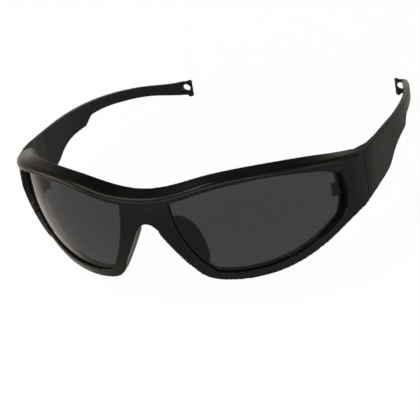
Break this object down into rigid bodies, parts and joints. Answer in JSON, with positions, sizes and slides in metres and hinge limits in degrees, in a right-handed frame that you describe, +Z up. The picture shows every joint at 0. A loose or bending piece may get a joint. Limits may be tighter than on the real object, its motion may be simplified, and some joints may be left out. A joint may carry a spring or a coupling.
{
  "type": "safety glasses",
  "caption": "Wrap-round safety glasses: dark moulded plastic front, curved tinted lenses, soft nose pads and slim temples that fold inwards on barrel hinges.",
  "frame": {"origin": "on the table, midway between the sides and midway between the brow's front and the temple tips, with the arms open", "axes": "+X to the wearer's left, -Y the way the wearer looks, +Z up; the glasses stand open on rims and temple tips"},
  "size_m": [0.1416, 0.165, 0.0468],
  "materials": {
    "frame_plastic": "satin, near black with a warm cast",
    "lens_tint": "polished smoke-grey tint",
    "pad_rubber": "matte soft grey",
    "hinge_steel": "satin"
  },
  "bodies": {
    "front": {"front_frame": "frame_plastic", "lens_left": "lens_tint", "nose_pad_left": "pad_rubber", "hinge_front_leaf_left": "hinge_steel", "front_leaf_screws_left": "hinge_steel", "hinge_screw_left": "hinge_steel", "lens_right": "lens_tint", "nose_pad_right": "pad_rubber", "hinge_front_leaf_right": "hinge_steel", "front_leaf_screws_right": "hinge_steel", "hinge_screw_right": "hinge_steel"},
    "temple_left": {"temple_left": "frame_plastic", "hinge_temple_leaf_left": "hinge_steel", "temple_leaf_screws_left": "hinge_steel"},
    "temple_right": {"temple_right": "frame_plastic", "hinge_temple_leaf_right": "hinge_steel", "temple_leaf_screws_right": "hinge_steel"}
  },
  "joints": [
    {"name": "fold_left", "type": "hinge", "parent": "front", "child": "temple_left", "pos_m": [0.0622, -0.03388, 0.02296], "axis": [0, 0.0884, 0.9961], "range_deg": [0, 84]},
    {"name": "fold_right", "type": "hinge", "parent": "front", "child": "temple_right", "pos_m": [-0.0622, -0.03388, 0.02296], "axis": [0, -0.0884, -0.9961], "range_deg": [0, 75]}
  ]
}
